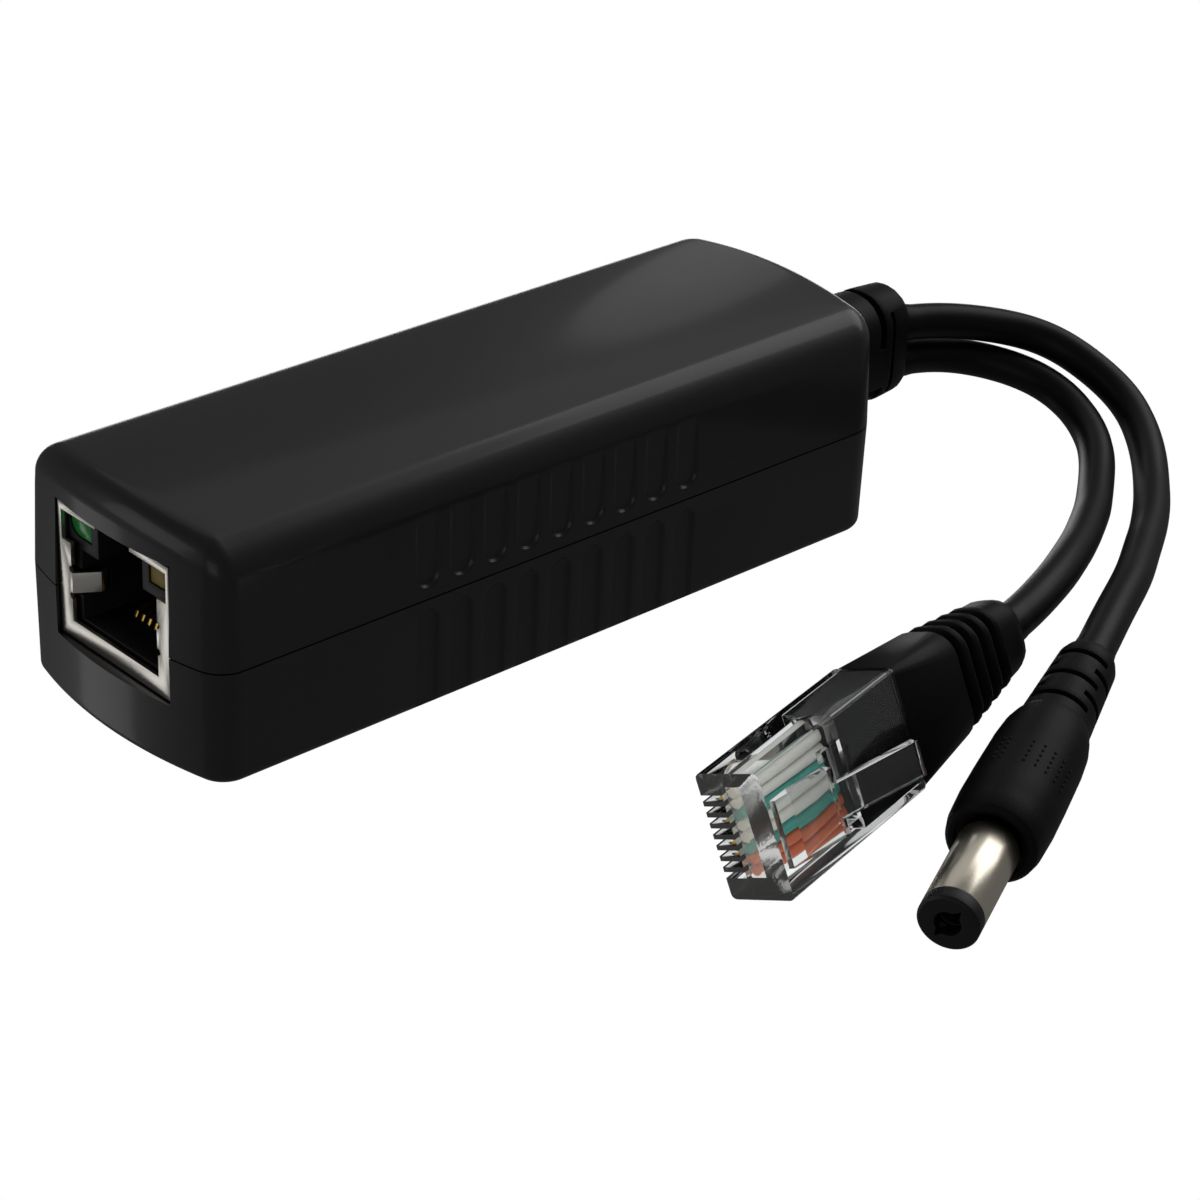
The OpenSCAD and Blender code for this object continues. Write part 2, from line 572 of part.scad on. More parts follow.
module plug_boot() color([0.09, 0.09, 0.10]) at_plug() {
    translate([core_x, -core_bay_w / 2 + fit_gap, -core_bay_h / 2 + fit_gap])
        cube([plug_l - core_x + 0.5, core_bay_w - 2 * fit_gap, core_bay_h - 2 * fit_gap]);
    loft_x(concat(
        [boot_at(plug_l, 0), boot_at(plug_l + block_l / 2, 0), boot_at(rib_x - 0.4, 0), boot_at(rib_x, 0.2)],
        flat([for (i = [0:ribs - 1]) let (x = rib_x + i * rib_pitch)
            [boot_at(x + 0.15, rib_depth), boot_at(x + 0.75, rib_depth), boot_at(x + 0.95, 0.1), boot_at(x + 1.5, 0), boot_at(x + 1.95, 0.15)]]),
        [[plug_l + boot_l - 1.8, boot_w2 - 0.2, boot_h2, 2.4, 0], [plug_l + boot_l - 0.8, boot_w2 - 0.9, boot_h2 - 0.5, 2.2, 0],
         [plug_l + boot_l, boot_w2 - 2.4, boot_h2 - 1.6, 1.9, 0]]));
}

// Barrel plug, drawn along X from the middle of its tip
module at_barrel() translate(barrel_pos) rotate(barrel_turn) children();
barrel_r = barrel_d / 2;
seat_l = 3;
neck_l = 0.4;
neck_r = barrel_r - 0.1;
liner_r = barrel_r - tube_t - fit_gap;
contact_r = pin_bore_d / 2 + tube_t;
wing_r = 1.9;
wing_l = 1.1;
module barrel_sleeve() color([0.80, 0.78, 0.74]) at_barrel() translate([tip_l, 0, 0]) rotate([0, 90, 0]) difference() {
    cylinder(r = barrel_r, h = barrel_l - neck_l - tip_l);
    cylinder(r = neck_r, h = barrel_l + seat_l - tip_l);
    translate([0, 0, -1]) cylinder(r = barrel_r - tube_t, h = barrel_l + seat_l);
}
module barrel_insulator() color([0.10, 0.10, 0.11]) at_barrel() rotate([0, 90, 0]) difference() {
    union() {
        cylinder(r1 = barrel_r - 0.25, r2 = barrel_r, h = 0.25);
        translate([0, 0, 0.25]) cylinder(r = barrel_r, h = tip_l - 0.25);
        cylinder(r = liner_r, h = barrel_l + seat_l);
    }
    translate([0, 0, -1]) cylinder(r = pin_bore_d / 2 + 0.1, h = tip_l + 2);
    translate([0, 0, tip_l]) cylinder(r = contact_r + fit_gap, h = far);
    // Two pointed wings of the opening
    for (a = [35, 215]) rotate([0, 0, a]) translate([0, 0, -1]) linear_extrude(1 + wing_l)
        polygon([[0.3, -0.8], [wing_r, 0], [0.3, 0.8]]);
}
module barrel_contact() color([0.78, 0.74, 0.62]) at_barrel() translate([tip_l, 0, 0]) rotate([0, 90, 0]) difference() {
    cylinder(r = contact_r, h = barrel_l + seat_l - tip_l);
    translate([0, 0, -1]) cylinder(d = pin_bore_d, h = barrel_l + seat_l);
}

relief_r0 = 3.35;
relief_r1 = 2.8;
relief_x = barrel_l + grip_l;
relief_rows = 5;
relief_cut = 0.75;
relief_pitch = 1.85;
grip_r = grip_d / 2;
module barrel_grip() color([0.11, 0.11, 0.12]) at_barrel() difference() {
    turn_x() polygon([[0, barrel_l], [grip_r - 0.7, barrel_l], [grip_r - 0.35, barrel_l + 0.3], [grip_r - 0.12, barrel_l + 1.4],
        [grip_r, barrel_l + 4.5], [grip_r - 0.05, barrel_l + 8], [grip_r - 0.2, barrel_l + 13], [grip_r - 0.4, relief_x - 2.4],
        [grip_r - 0.7, relief_x - 1.1], [relief_r0, relief_x], [relief_r1, relief_x + relief_l - 1.2],
        [relief_r1 - 0.25, relief_x + relief_l - 0.4], [relief_r1 - 0.7, relief_x + relief_l], [0, relief_x + relief_l]]);
    translate([barrel_l - 1, 0, 0]) rotate([0, 90, 0]) cylinder(r = neck_r + fit_gap, h = seat_l + 1 + fit_gap);
    translate([barrel_l - 1, 0, 0]) rotate([0, 90, 0]) cylinder(r = barrel_r + 0.55, h = 1.5);
    // Staggered slots of the strain relief
    for (i = [0:relief_rows - 1]) for (s = [0, 180])
        translate([relief_x + 1 + i * relief_pitch, 0, 0]) rotate([0, 90, 0]) rotate([0, 0, 90 * (i % 2) + s - 55])
            rotate_extrude(angle = 110) translate([relief_r1 - 0.9, 0]) square([3, relief_cut]);
}

upper_shell();
lower_shell();
circuit_board();
jack_shield();
jack_insert();
jack_contacts();
green_lens();
amber_lens();
signal_transformer();
power_transformer_core();
power_transformer_coil();
storage_inductor();
input_capacitor();
output_capacitors();
rectifiers();
controller_chip();
inner_leads();
cord_gland();
power_cord();
data_cord();
plug_shell();
plug_blades();
plug_wires();
plug_boot();
barrel_sleeve();
barrel_insulator();
barrel_contact();
barrel_grip();
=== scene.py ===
import bpy, bmesh, math
from mathutils import Matrix, Vector, Euler


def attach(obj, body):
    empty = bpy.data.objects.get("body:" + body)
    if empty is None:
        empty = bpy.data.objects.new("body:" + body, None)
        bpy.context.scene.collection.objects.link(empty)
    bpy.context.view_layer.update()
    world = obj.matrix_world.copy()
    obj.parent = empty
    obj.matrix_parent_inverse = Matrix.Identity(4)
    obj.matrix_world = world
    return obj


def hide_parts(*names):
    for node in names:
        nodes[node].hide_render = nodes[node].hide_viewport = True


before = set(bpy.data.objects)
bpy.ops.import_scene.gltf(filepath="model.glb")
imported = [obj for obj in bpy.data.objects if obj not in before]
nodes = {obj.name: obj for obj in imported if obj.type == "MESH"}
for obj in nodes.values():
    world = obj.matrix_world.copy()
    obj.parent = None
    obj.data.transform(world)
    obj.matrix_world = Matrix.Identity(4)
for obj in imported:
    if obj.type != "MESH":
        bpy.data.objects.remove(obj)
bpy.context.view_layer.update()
MM = 0.001

# Camera
# A long lens from the front left, above the jack's end.
camera = bpy.data.objects.new("camera", bpy.data.cameras.new("camera"))
camera.data.sensor_width = 36
camera.data.lens = 102
camera.data.clip_start = 0.01
right = Vector((0.73942, -0.67217, 0.03800))
up = Vector((0.29851, 0.37792, 0.87640))
back = right.cross(up)
camera.matrix_world = Matrix.Translation((-0.190476, -0.219886, 0.158760)) @ Matrix((right, up, back)).transposed().to_4x4()
bpy.context.scene.collection.objects.link(camera)
bpy.context.scene.camera = camera
bpy.context.scene.view_settings.view_transform = "Standard"

# Materials
# Colours are sRGB hex codes, made linear here, and every pattern reads Object coordinates.
def linear(code):
    parts = [int(code[i:i + 2], 16) / 255 for i in (1, 3, 5)]
    return [c / 12.92 if c <= 0.04045 else ((c + 0.055) / 1.055) ** 2.4 for c in parts] + [1.0]


def add(tree, kind, values={}, links={}, **settings):
    node = tree.nodes.new(kind)
    for key, value in settings.items():
        setattr(node, key, value)
    for key, value in values.items():
        node.inputs[key].default_value = value
    for key, socket in links.items():
        tree.links.new(socket, node.inputs[key])
    return node


def material(name, colour, roughness, grain=0.2, relief=0.05, speck=0.15, **sockets):
    """A moulded or plated surface: fine grain of that size in mm in its bump, and a soft change of colour and roughness."""
    mat = bpy.data.materials.new(name)
    mat.use_nodes = True
    tree = mat.node_tree
    shader = tree.nodes["Principled BSDF"]
    for key, value in sockets.items():
        shader.inputs[key.replace("_", " ")].default_value = value
    place = add(tree, "ShaderNodeTexCoord").outputs["Object"]
    cloud = add(tree, "ShaderNodeTexNoise", {"Scale": 90, "Detail": 4}, {"Vector": place}).outputs["Fac"]
    low, high = linear(colour), linear(colour)
    low[:3] = [c * (1 - speck) for c in low[:3]]
    high[:3] = [min(1, c * (1 + speck)) for c in high[:3]]
    mix = add(tree, "ShaderNodeMixRGB", {"Color1": low, "Color2": high}, {"Fac": cloud})
    tree.links.new(mix.outputs["Color"], shader.inputs["Base Color"])
    spread = add(tree, "ShaderNodeMapRange", {"To Min": roughness - 0.04, "To Max": roughness + 0.04}, {"Value": cloud})
    tree.links.new(spread.outputs["Result"], shader.inputs["Roughness"])
    fine = add(tree, "ShaderNodeTexNoise", {"Scale": 1000 / grain, "Detail": 2}, {"Vector": place}).outputs["Fac"]
    bump = add(tree, "ShaderNodeBump", {"Strength": relief, "Distance": 0.00005}, {"Height": fine})
    tree.links.new(bump.outputs["Normal"], shader.inputs["Normal"])
    return mat


housing_plastic = material("satin black ABS", "#131314", 0.42, grain=0.3, relief=0.12, Coat_Weight=0.3, Coat_Roughness=0.12)
cord_jacket = material("black PVC jacket", "#121213", 0.42, grain=0.3, relief=0.2, Specular_IOR_Level=0.2)
soft_moulding = material("black PVC moulding", "#101011", 0.48, grain=0.3, relief=0.25, Specular_IOR_Level=0.16)
# A darker, less shiny copy of the boot's black moulding for its part inside the clear plug: painted shade.
plug_core_painted_shade = material("black moulding with painted shade in the clear plug", "#060606", 0.6, relief=0.2, Specular_IOR_Level=0.1)
# The grip's studs are the grip's own black moulding; their darker black is painted shade.
stud_painted_shade = material("raised stud with painted shade", "#060606", 0.6, grain=0.3, relief=0.1)
black_insert = material("black PBT", "#080808", 0.5, grain=0.2, relief=0.2)
tin_plate = material("tin plated steel", "#efebe2", 0.3, grain=0.15, relief=0.15, speck=0.06, Metallic=1.0)
nickel = material("nickel plated brass", "#fbf2e0", 0.26, grain=0.4, relief=0.08, speck=0.04, Metallic=1.0)
# The barrel's contact is nickel plate like the sleeve; its dark grey is painted shade for the dark bore it lies in.
bore_contact_painted_shade = material("nickel with painted shade", "#4a4742", 0.6, grain=0.2, relief=0.2, Metallic=1.0)
gold = material("gold flashed bronze", "#d8b060", 0.25, grain=0.2, relief=0.05, speck=0.05, Metallic=1.0)
green_plastic = material("clear green acrylic", "#2c9a4a", 0.2, grain=0.5, relief=0.05)
amber_plastic = material("clear amber acrylic", "#8a7424", 0.3, grain=0.5, relief=0.05, Specular_IOR_Level=0.15)
polycarbonate = material("clear polycarbonate", "#f4f6f6", 0.05, grain=2, relief=0.02, speck=0.01, Transmission_Weight=1.0, IOR=1.3)
# A whiter, partly diffuse copy of the clear polycarbonate: painted highlight for the white sheen of the plug's front
# comb.
comb_painted_highlight = material("polycarbonate with painted highlight", "#fdfcf6", 0.1, grain=0.3, relief=0.3, speck=0.02, Transmission_Weight=0.85, IOR=1.4)
teal_wire = material("teal wire insulation", "#2f9c8f", 0.4)
white_wire = material("white wire insulation", "#e3e1da", 0.4)
orange_wire = material("orange wire insulation", "#d5683c", 0.4)
board_mask = material("green solder mask", "#0f5a30", 0.3)
epoxy = material("black epoxy", "#161616", 0.5)
ferrite = material("bare ferrite", "#3a3a3c", 0.6)
tape = material("yellow film tape", "#d9a521", 0.35)
sleeve_film = material("dark blue shrink sleeve", "#1a2350", 0.3)
red_wire = material("red wire insulation", "#a3201c", 0.4)

# World and lights
# Camera rays see plain white. The object is lit by a large softbox above and behind, and weaker ones at its sides.
world = bpy.data.worlds.new("studio")
bpy.context.scene.world = world
world.use_nodes = True
sky = world.node_tree
sky.nodes.clear()
ray = add(sky, "ShaderNodeLightPath")
some = add(sky, "ShaderNodeMath", {1: 1.0}, {0: ray.outputs["Transmission Depth"]}, operation="MINIMUM")
bounced = add(sky, "ShaderNodeMath", {1: 0.25}, {0: ray.outputs["Glossy Depth"]}, operation="MULTIPLY", use_clamp=True)
through = add(sky, "ShaderNodeMath", {}, {0: some.outputs[0], 1: bounced.outputs[0]}, operation="SUBTRACT", use_clamp=True)
seen = add(sky, "ShaderNodeMath", {}, {0: ray.outputs["Is Camera Ray"], 1: through.outputs[0]}, operation="MAXIMUM")
dim = add(sky, "ShaderNodeBackground", {"Color": (1, 1, 1, 1), "Strength": 0.11})
white = add(sky, "ShaderNodeBackground", {"Color": (1, 1, 1, 1), "Strength": 1.0})
either = add(sky, "ShaderNodeMixShader", {}, {0: seen.outputs[0], 1: dim.outputs[0], 2: white.outputs[0]})
add(sky, "ShaderNodeOutputWorld", {}, {"Surface": either.outputs[0]})


def softbox(name, place, target, width, height, power):
    light = bpy.data.lights.new(name, "AREA")
    light.shape = "RECTANGLE"
    light.size, light.size_y, light.energy = width, height, power
    lamp = bpy.data.objects.new(name, light)
    lamp.location = place
    lamp.rotation_euler = (Vector(target) - Vector(place)).to_track_quat("-Z", "Y").to_euler()
    lamp.visible_camera = False
    lamp.visible_transmission = False
    bpy.context.scene.collection.objects.link(lamp)
    return lamp


softbox("softbox_top", (0.25, 0.3, 0.5), (0.02, 0, 0), 0.5, 0.4, 0.16)
softbox("softbox_back", (0.155, 0.126, 0.087), (0.036, 0.006, 0.024), 0.045, 0.08, 0.005).data.shape = "ELLIPSE"
softbox("softbox_horizon", (0.4, 0.45, -0.09), (0, 0, 0.02), 0.5, 0.12, 0.4)
softbox("softbox_front", (-0.35, -0.25, 0.12), (-0.01, -0.05, 0.01), 0.25, 0.25, 0.08)
softbox("softbox_left", (-0.5, 0.3, 0.2), (0, 0, 0.02), 0.3, 0.4, 0.3)
softbox("softbox_right", (0.6, -0.02, 0.42), (0.02, -0.05, 0.005), 0.5, 0.5, 1.15)
softbox("softbox_below", (-0.24, 0.3, -0.19), (-0.04, 0, 0.013), 0.12, 0.12, 0.045)

# Leads
# Both are tubes on the CAD routes. The power lead leaves the gland above the data lead.
POWER = [(58.5, 0, 12.5), (64, -1.2, 12), (68.4, -2.9, 11.1), (73.3, -4.6, 9.7), (76.5, -8.1, 8.5),
         (77.8, -12.6, 6.5), (77.7, -17.2, 5), (75.8, -21.3, 3.5), (72.4, -25.5, 2.5), (68.6, -28.9, 2.1),
         (65.1, -31.9, 2.5), (61, -35, 3), (57, -37.8, 3.5), (53, -40.4, 4.5), (48.9, -43.1, 5),
         (44.9, -45.7, 6), (40.5, -48.1, 6.5), (36.6, -50.2, 7), (32.2, -52.6, 7.3), (27.15, -55.2, 7.273)]
DATA = [(58.5, 0, 8.3), (64.7, -0.4, 7.6), (69.2, -2.4, 6.6), (72.1, -6.9, 6), (74, -11.3, 4.5),
        (72.7, -16.5, 3), (69.5, -20.8, 2.3), (65.6, -24.1, 2.1), (61.6, -27.2, 2.5), (57.7, -30.2, 3),
        (53.6, -32.9, 4), (49.2, -35.8, 5), (45.2, -38.3, 6), (41.2, -40.6, 7), (36.7, -43.1, 7.8),
        (32.2, -45, 8.3), (28.2, -46.5, 8.4), (23.68, -47.56, 8.376)]


def finish(piece, node):
    """Puts a piece in the scene and in the frame, in place of a CAD node if one is named."""
    if piece.name not in bpy.context.scene.collection.objects:
        bpy.context.scene.collection.objects.link(piece)
    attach(piece, "root")
    if node:
        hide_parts(node)
    return piece


def curve_through(points, first, last, steps=6):
    """Points on a smooth curve through the given ones, with its two end directions."""
    points = [Vector(p) for p in points]
    ends = [points[0] - 4 * Vector(first)] + points + [points[-1] + 4 * Vector(last)]
    found = []
    for a, b, c, d in zip(ends, ends[1:], ends[2:], ends[3:]):
        for k in range(steps):
            t = k / steps
            found.append(0.5 * (2 * b + (c - a) * t + (2 * a - 5 * b + 4 * c - d) * t * t + (3 * b - a - 3 * c + d) * t ** 3))
    return found + [points[-1]]


def smoothed(line, times=24):
    """The line with its small waves evened out and its ends kept."""
    for _ in range(times):
        line = [line[0]] + [(a + 2 * b + c) / 4 for a, b, c in zip(line, line[1:], line[2:])] + [line[-1]]
    return line


def lead(name, points, last):
    line = smoothed(curve_through(points, (1, 0, 0), last))
    curve = bpy.data.curves.new(name, "CURVE")
    curve.dimensions = "3D"
    spline = curve.splines.new("POLY")
    spline.points.add(len(line) - 1)
    for i, (point, p) in enumerate(zip(spline.points, line)):
        point.co = (*(p * MM), 1)
        point.radius = 1 if min(i, len(line) - 1 - i) < 3 else 0.95
    curve.bevel_depth = 2 * MM
    curve.bevel_resolution = 8
    curve.use_fill_caps = True
    spline.use_smooth = True
    curve.materials.append(cord_jacket)
    length = sum((b - a).length for a, b in zip(line, line[1:]))
    print(name, "is", round(length, 1), "mm long")
    return finish(bpy.data.objects.new(name, curve), name), length * MM


power_cord, power_length = lead("power_cord", POWER, (-0.905, -0.4124, -0.1045))
data_cord, data_length = lead("data_cord", DATA, (-0.978, -0.2044, -0.0349))

# Housing shells
# Fine skins lofted through the CAD outline, with the grip slots pressed into the long sides.
BODY_L, BODY_W, LOWER_H, BODY_H, WALL = 85, 29.4, 11.4, 24.3, 2
CORNER, BOW = 14, 24
slot_steps = [-1.45, -1.38, -1.32, -1.26, -1.2, -1.14, -1.05, -0.9, -0.75, -0.6, -0.45, -0.3, -0.15]
slot_steps += [0] + [-s for s in reversed(slot_steps)]
slot_middles = [-1.2 + 4 * (i - 4) for i in range(9)]
side_x = [36, 27] + [m + s for m in reversed(slot_middles) for s in reversed(slot_steps)] + [-27, -36]


def end_outline(bow, corner, side_in, end_in):
    """A corner, the bowed end and the other corner, moved in by side_in and end_in."""
    arc_r = ((BODY_W / 2) ** 2 + bow ** 2) / (2 * bow)
    x = BODY_L / 2 - arc_r
    r = max(corner - (side_in + end_in) / 2, 0.2)
    cy = BODY_W / 2 - side_in - r
    a = math.asin(cy / (arc_r - end_in - r))
    cx = x + (arc_r - end_in - r) * math.cos(a)
    ring = [(cx + r * math.cos(t), -cy + r * math.sin(t)) for t in (-math.pi / 2 + (math.pi / 2 - a) * i / CORNER for i in range(CORNER + 1))]
    ring += [(x + (arc_r - end_in) * math.cos(t), (arc_r - end_in) * math.sin(t)) for t in (-a + 2 * a * i / BOW for i in range(1, BOW))]
    return ring + [(px, -py) for px, py in reversed(ring[:CORNER + 1])]


def outline(side_in, end_in, scale=1):
    y = BODY_W / 2 - side_in
    ring = end_outline(0.7, 3.9, side_in, end_in) + [(x, y) for x in side_x]
    ring += [(-px, -py) for px, py in end_outline(2.2, 3.1, side_in, end_in)] + [(x, -y) for x in reversed(side_x)]
    return [(x * scale, y * scale) for x, y in ring]


def pressed(ring, z, low, high):
    """The ring with its long sides pushed in at the grip slots that run from low to high."""
    found = []
    for x, y in ring:
        middle = min(slot_middles, key=lambda m: abs(m - x))
        over = max(low + 1.25 - z, z - high + 1.25, 0)
        inside = 0.5 - (math.hypot(x - middle, over) - 1.25) / 0.32
        inside = min(1, max(0, inside))
        inside *= inside * (3 - 2 * inside)
        limit = BODY_W / 2 - 0.4
        if abs(y) > limit and abs(x) < 25:
            y = math.copysign(abs(y) + (limit - abs(y)) * inside, y)
        found.append((x, y, z))
    return found


def crown(y):
    return -1.5 * (2 * y / BODY_W) ** 2


def skin(name, rings, mat, node, cutters=(), sharp=30):
    """A closed mesh lofted through rings of equal count, with its openings cut out."""
    n = len(rings[0])
    faces = [[(k * n + i), (k * n + (i + 1) % n), ((k + 1) * n + (i + 1) % n), ((k + 1) * n + i)] for k in range(len(rings) - 1) for i in range(n)]
    faces += [list(range(n))[::-1], [(len(rings) - 1) * n + i for i in range(n)]]
    mesh = bpy.data.meshes.new(name)
    mesh.from_pydata([tuple(c * MM for c in p) for ring in rings for p in ring], [], faces)
    mesh.validate()
    bm = bmesh.new()
    bm.from_mesh(mesh)
    bmesh.ops.recalc_face_normals(bm, faces=bm.faces)
    bm.to_mesh(mesh)
    bm.free()
    return solid(name, mesh, mat, node, cutters, sharp)


def solid(name, mesh, mat, node, cutters=(), sharp=30):
    """A piece from a mesh, with cutters taken away and smooth shading up to an angle."""
    piece = bpy.data.objects.new(name, mesh)
    bpy.context.scene.collection.objects.link(piece)
    for cutter in cutters:
        cut = piece.modifiers.new("cut", "BOOLEAN")
        cut.operation, cut.solver, cut.object = "DIFFERENCE", "EXACT", cutter
    if cutters:
        bpy.context.view_layer.update()
        made = bpy.data.meshes.new_from_object(piece.evaluated_get(bpy.context.evaluated_depsgraph_get()))
        piece.modifiers.clear()
        piece.data = made
        for cutter in cutters:
            bpy.data.objects.remove(cutter)
    piece.data.materials.clear()
    piece.data.materials.append(mat)
    piece.data.shade_smooth()
    piece.data.set_sharp_from_angle(angle=math.radians(sharp))
    return finish(piece, node)


def cutter(points, x0, x1):
    """A prism along X from a closed outline in Y and Z."""
    n = len(points)
    mesh = bpy.data.meshes.new("cutter")
    mesh.from_pydata([(x * MM, y * MM, z * MM) for x in (x0, x1) for y, z in points], [],
                     [list(range(n))[::-1], [n + i for i in range(n)]] + [[i, (i + 1) % n, n + (i + 1) % n, n + i] for i in range(n)])
    piece = bpy.data.objects.new("cutter", mesh)
    bpy.context.scene.collection.objects.link(piece)
    return piece


def round_rect(w, h, r, z, steps=8):
    return [((w / 2 - r) * sy + r * math.cos(t), z + (h / 2 - r) * sz + r * math.sin(t))
            for q, (sy, sz) in enumerate(((1, 1), (-1, 1), (-1, -1), (1, -1)))
            for t in (math.pi / 2 * (q + i / steps) for i in range(steps + 1))]


def end_openings():
    y0, y1, z0, z1 = -0.4 - 8.5, -0.4 + 8.5, 6.5, 20.2
    return [cutter([(y0, z0), (y1, z0), (y1, z1), (y0, z1)], -50, -37.4),
            cutter(round_rect(8.6, 12.4, 3.6, 11.4), 38.5, 44.5)]


blend = [i / CORNER for i in range(CORNER + 1)]
blend = blend + [1] * (BOW - 1) + blend[::-1]
fillet = [3.4 + (2.6 - 3.4) * t for t in blend]
fillet = (fillet + [3.4] * len(side_x)) * 2
top_in = 0.04 * (12.9 - 3.4)
rings = [[(x, y, 20.8) for x, y in outline(WALL, WALL, k)] for k in (0.02, 0.5)]
rings += [[(x, y, z) for x, y in outline(WALL, WALL)] for z in (20.8, 11.4)]
heights = [11.4, 12, 12.3] + [12.45 + 0.06 * i for i in range(25)] + [14.2, 15, 16, 17, 18, 18.7, 19.2]
rings += [pressed(outline(0.047 * (z - LOWER_H), 0.037 * (z - LOWER_H)), z, 12.6, 60) for z in heights]
for i in range(0, 15):
    a = math.pi / 2 * i / 14
    ring = outline(top_in + 3.4 * (1 - math.cos(a)), top_in + 2.6 * (1 - math.cos(a)))
    rings.append([(*pressed([(x, y)], 30, 12.6, 60)[0][:2], BODY_H - r * (1 - math.sin(a)) + crown(y)) for (x, y), r in zip(ring, fillet)])
for k in (0.97, 0.9, 0.8, 0.7, 0.6, 0.5, 0.4, 0.3, 0.2, 0.1, 0.02):
    rings.append([(x, y, BODY_H + crown(y)) for x, y in outline(top_in + 3.4, top_in + 2.6, k)])
upper_shell = skin("upper_shell_skin", rings, housing_plastic, "upper_shell", end_openings())

seam_h, seam_in = 0.16, 0.35
rings = [[(x, y, 2) for x, y in outline(WALL, WALL, k)] for k in (0.02, 0.5, 1)]
rings += [[(x, y, 11.4) for x, y in outline(WALL, WALL)], [(x, y, 11.4) for x, y in outline(seam_in, seam_in)]]
rings += [[(x, y, 11.4 - seam_h) for x, y in outline(seam_in, seam_in)]]
heights = [11.4 - seam_h, 11.1, 10.7, 10.5] + [10.35 - 0.06 * i for i in range(25)] + [8.6, 8, 7, 6, 5, 4, 3, 2, 1.2]
rings += [pressed(outline(0.01 * (LOWER_H - z), 0.01 * (LOWER_H - z)), z, -60, 10.2) for z in heights]
for i in range(9):
    a = math.pi / 2 * (1 - i / 8)
    inset = 0.105 + 0.9 * (1 - math.sin(a))
    rings.append([(*p[:2], 0.9 * (1 - math.cos(a))) for p in pressed(outline(inset, inset), 0, -60, 10.2)])
rings += [[(x, y, 0) for x, y in outline(1.005, 1.005, k)] for k in (0.5, 0.02)]
lower_shell = skin("lower_shell_skin", rings, housing_plastic, "lower_shell", end_openings())


# Jack, plugs and gland
# Copies of the CAD nodes with their loose triangles merged, flat faces joined and edges rounded.
def from_cad(node, width, mat, segments=2, angle=30, sharp=35):
    mesh = nodes[node].data.copy()
    bm = bmesh.new()
    bm.from_mesh(mesh)
    bmesh.ops.remove_doubles(bm, verts=bm.verts, dist=0.000002)
    bmesh.ops.dissolve_limit(bm, angle_limit=math.radians(0.5), verts=bm.verts, edges=bm.edges)
    bmesh.ops.recalc_face_normals(bm, faces=bm.faces)
    bm.to_mesh(mesh)
    bm.free()
    piece = bpy.data.objects.new(node + "_skin", mesh)
    bpy.context.scene.collection.objects.link(piece)
    bevel = piece.modifiers.new("edges", "BEVEL")
    bevel.width, bevel.segments, bevel.limit_method, bevel.angle_limit = width * MM, segments, "ANGLE", math.radians(angle)
    bevel.use_clamp_overlap = True
    bpy.context.view_layer.update()
    made = bpy.data.meshes.new_from_object(piece.evaluated_get(bpy.context.evaluated_depsgraph_get()))
    name = piece.name
    bpy.data.objects.remove(piece)
    return solid(name, made, mat, node, sharp=sharp)


from_cad("jack_shield", 0.05, tin_plate)
from_cad("jack_insert", 0.06, black_insert)
from_cad("jack_contacts", 0.05, gold)
from_cad("green_lens", 0.15, green_plastic)
from_cad("amber_lens", 0.15, amber_plastic)
gland = from_cad("cord_gland", 0.12, soft_moulding, 3)
plug_shell = from_cad("plug_shell", 0.12, polycarbonate, 3)
plug_blades = from_cad("plug_blades", 0.04, gold)
plug_boot = from_cad("plug_boot", 0.15, soft_moulding, 3)
barrel_grip = from_cad("barrel_grip", 0.1, soft_moulding, 2)
barrel_sleeve = from_cad("barrel_sleeve", 0.05, nickel)
barrel_insulator = from_cad("barrel_insulator", 0.06, black_insert)
# The contact deep in the bore takes the darkened nickel, painted shade.
barrel_contact = from_cad("barrel_contact", 0.04, bore_contact_painted_shade)
plug_wires = from_cad("plug_wires", 0.02, teal_wire)
at_plug = Matrix.Translation((-17.7 * MM, -56.2 * MM, 6.9 * MM)) @ Euler([math.radians(a) for a in (68.2, -2, 11.8)]).to_matrix().to_4x4()
for mat in (white_wire, orange_wire):
    plug_wires.data.materials.append(mat)
# The front 2.2 mm of the plug, its comb, takes the whiter copy with painted highlight.
plug_shell.data.materials.append(comb_painted_highlight)
for face in plug_shell.data.polygons:
    face.material_index = int((at_plug.inverted() @ face.center).x < 2.2 * MM)
# The boot's part inside the clear plug takes the darker copy, painted shade.
plug_boot.data.materials.append(plug_core_painted_shade)
for face in plug_boot.data.polygons:
    face.material_index = int((at_plug.inverted() @ face.center).x < 20.6 * MM)
from_side = [2, 2, 0, 1, 1, 0, 1, 1]
for face in plug_wires.data.polygons:
    place = round((at_plug.inverted() @ face.center).y / (1.016 * MM) + 3.5)
    face.material_index = from_side[min(7, max(0, place))]
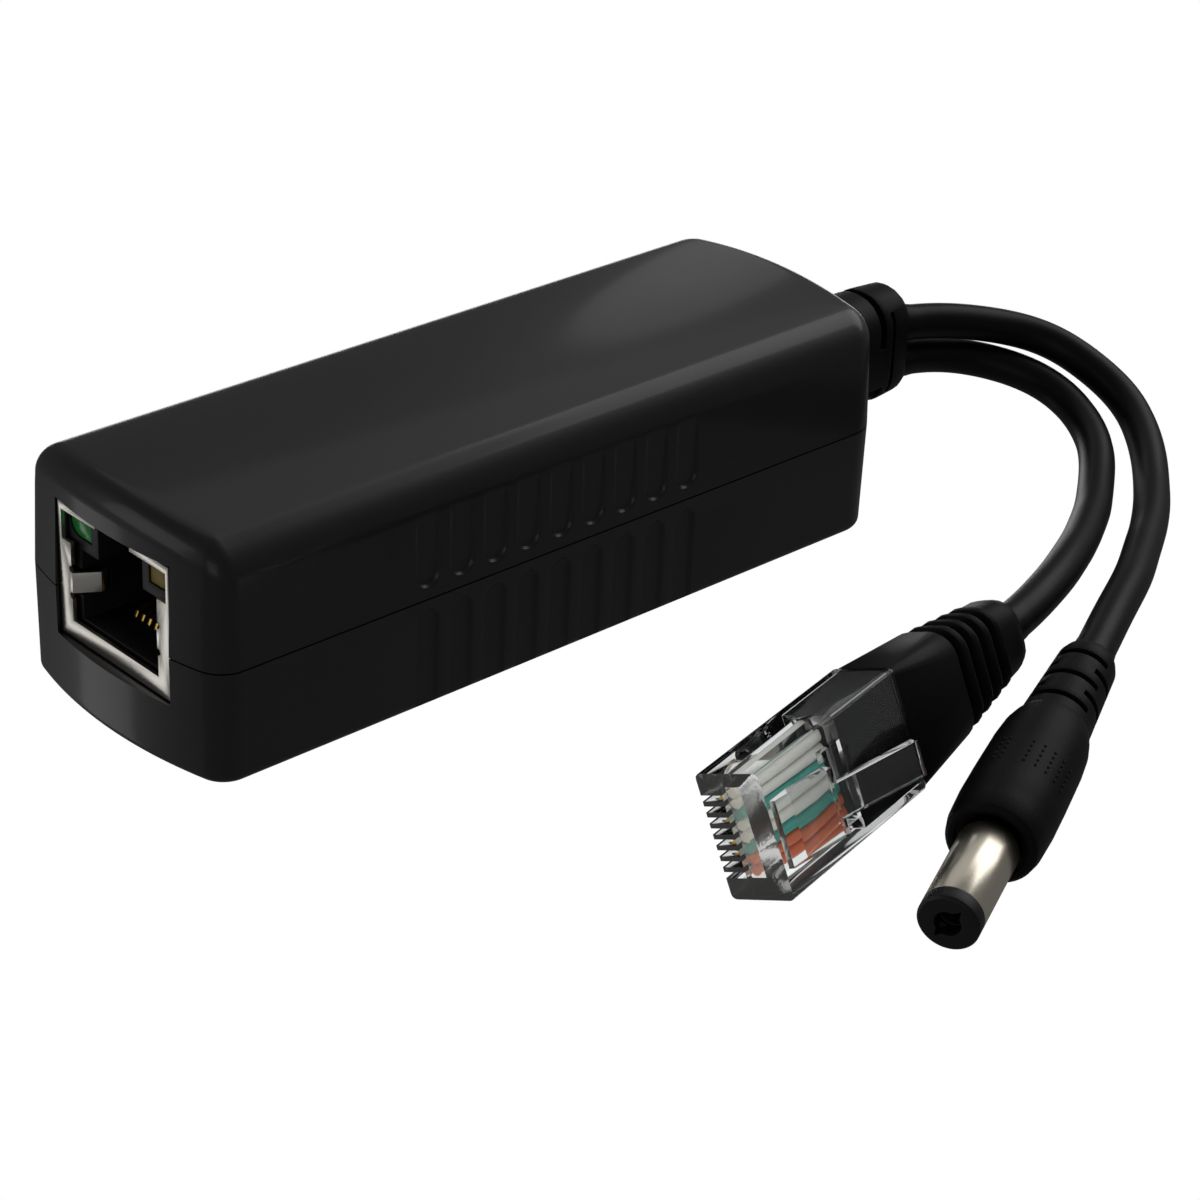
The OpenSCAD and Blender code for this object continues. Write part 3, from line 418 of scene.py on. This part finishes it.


# Grip marks
# Rows of small raised studs on the barrel plug's grip, facing the camera and on its far side. Their black is darker
# than the grip's: painted shade for the dark specks they show.
def studs(name, spots, radius, mat):
    mesh = bpy.data.meshes.new(name)
    mesh.from_pydata(spots, [], [])
    piece = bpy.data.objects.new(name, mesh)
    bpy.context.scene.collection.objects.link(piece)
    group = bpy.data.node_groups.new(name, "GeometryNodeTree")
    group.interface.new_socket("Geometry", in_out="INPUT", socket_type="NodeSocketGeometry")
    group.interface.new_socket("Geometry", in_out="OUTPUT", socket_type="NodeSocketGeometry")
    start = add(group, "NodeGroupInput")
    ball = add(group, "GeometryNodeMeshIcoSphere", {"Radius": radius * MM, "Subdivisions": 2})
    copies = add(group, "GeometryNodeInstanceOnPoints", {}, {"Points": start.outputs[0], "Instance": ball.outputs["Mesh"]})
    joined = add(group, "GeometryNodeRealizeInstances", {}, {"Geometry": copies.outputs["Instances"]})
    coated = add(group, "GeometryNodeSetMaterial", {"Material": mat}, {"Geometry": joined.outputs["Geometry"]})
    add(group, "NodeGroupOutput", {}, {0: coated.outputs["Geometry"]})
    piece.modifiers.new("studs", "NODES").node_group = group
    bpy.context.view_layer.update()
    made = bpy.data.meshes.new_from_object(piece.evaluated_get(bpy.context.evaluated_depsgraph_get()))
    bpy.data.objects.remove(piece)
    return solid(name, made, mat, None)


at_barrel = Matrix.Translation((-9.5 * MM, -71.9 * MM, 3.04 * MM)) @ Euler([math.radians(a) for a in (0, -6, 24.5)]).to_matrix().to_4x4()
spots = []
for turn in (-60, -52, -24, -10, 4, 18, 32):
    for k in range(5):
        a = math.radians(120.4 + turn)
        out = at_barrel.to_3x3() @ Vector((0, math.cos(a), math.sin(a)))
        start = at_barrel @ Vector(((18.2 + 0.75 * k) * MM, 0, 0)) + 8 * MM * out
        spots.append(barrel_grip.ray_cast(start, -out)[1])
grip_marks = studs("grip_marks", spots, 0.14, stud_painted_shade)

SLOTS = {
    "circuit_board": board_mask, "signal_transformer": epoxy, "power_transformer_core": ferrite, "power_transformer_coil": tape,
    "storage_inductor": ferrite, "input_capacitor": sleeve_film, "output_capacitors": sleeve_film, "rectifiers": epoxy,
    "controller_chip": epoxy, "inner_leads": red_wire,
}
for name, mat in SLOTS.items():
    nodes[name].data.materials.clear()
    nodes[name].data.materials.append(mat)
